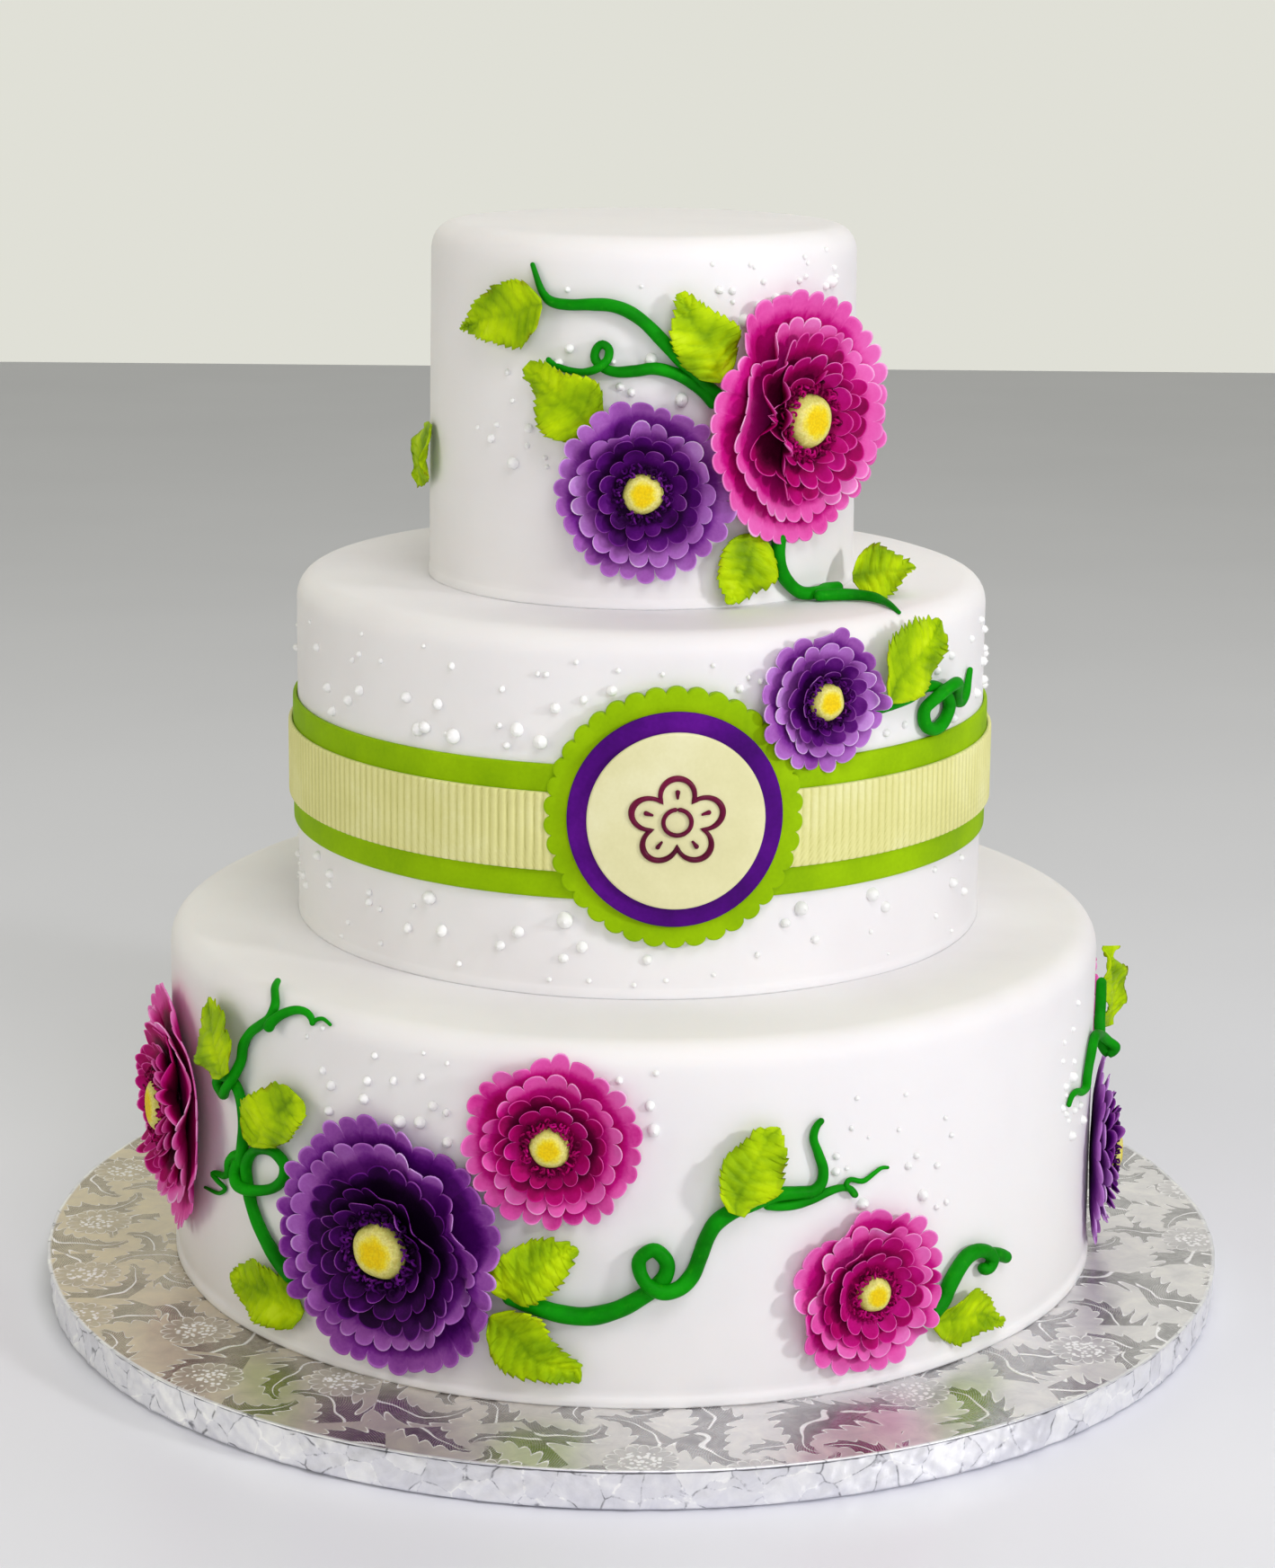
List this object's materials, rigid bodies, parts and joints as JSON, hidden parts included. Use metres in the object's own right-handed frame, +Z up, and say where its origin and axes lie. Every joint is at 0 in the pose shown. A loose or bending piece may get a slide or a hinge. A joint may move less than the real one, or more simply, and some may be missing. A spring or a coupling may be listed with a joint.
{
  "type": "tiered wedding cake",
  "caption": "Round three-tier iced cake on a foil drum, with sugar flowers, leaves, curling vines, piped pearls, a ribbed ribbon and a scalloped plaque.",
  "frame": {"origin": "centre of the drum's underside", "axes": "+Z up through the tiers, the plaque and the shown side face -Y, +X to the shown side's right"},
  "size_m": [0.4572, 0.4572, 0.408],
  "materials": {
    "foil": "bright embossed foil wrap",
    "icing": "smooth white sugar paste, satin",
    "lime": "lime green sugar paste, matte",
    "cream": "pale cream sugar paste, matte",
    "plaque_violet": "violet sugar paste, matte",
    "burgundy": "piped royal icing, slightly glossy",
    "petal_violet": "violet sugar petals with paler rims",
    "petal_pink": "pink sugar petals with paler rims",
    "eye_yellow": "grainy yellow sugar",
    "leaf_green": "veined lime green sugar leaf",
    "vine_green": "smooth dark green sugar rope"
  },
  "bodies": {
    "root": {"board": "foil", "eye_back": "eye_yellow", "eye_back_pink": "eye_yellow", "eye_centre": "eye_yellow", "eye_front": "eye_yellow", "eye_left": "eye_yellow", "eye_low": "eye_yellow", "eye_middle": "eye_yellow", "eye_right": "eye_yellow", "eye_top_back": "eye_yellow", "eye_top_pink": "eye_yellow", "eye_top_violet": "eye_yellow", "flower_back": "petal_violet", "flower_back_pink": "petal_pink", "flower_centre": "petal_pink", "flower_front": "petal_violet", "flower_left": "petal_pink", "flower_low": "petal_pink", "flower_middle": "petal_violet", "flower_right": "petal_violet", "flower_top_back": "petal_violet", "flower_top_pink": "petal_pink", "flower_top_violet": "petal_violet", "leaf_back_high": "leaf_green", "leaf_back_low": "leaf_green", "leaf_centre_high": "leaf_green", "leaf_centre_low": "leaf_green", "leaf_centre_up": "leaf_green", "leaf_edge": "leaf_green", "leaf_ledge": "leaf_green", "leaf_left_high": "leaf_green", "leaf_left_low": "leaf_green", "leaf_left_mid": "leaf_green", "leaf_middle": "leaf_green", "leaf_right_low": "leaf_green", "leaf_top_edge": "leaf_green", "leaf_top_foot": "leaf_green", "leaf_top_left": "leaf_green", "leaf_top_low": "leaf_green", "leaf_top_mid": "leaf_green", "plaque_face": "cream", "plaque_piping": "burgundy", "plaque_ring": "plaque_violet", "plaque_scalloped": "lime", "ribbon": "lime", "ribbon_ribs": "cream", "tier_bottom": "icing", "tier_middle": "icing", "tier_top": "icing", "vine_back": "vine_green", "vine_centre": "vine_green", "vine_edge": "vine_green", "vine_ledge": "vine_green", "vine_left": "vine_green", "vine_middle": "vine_green", "vine_right": "vine_green", "vine_top": "vine_green", "vine_top_back": "vine_green"}
  },
  "joints": []
}
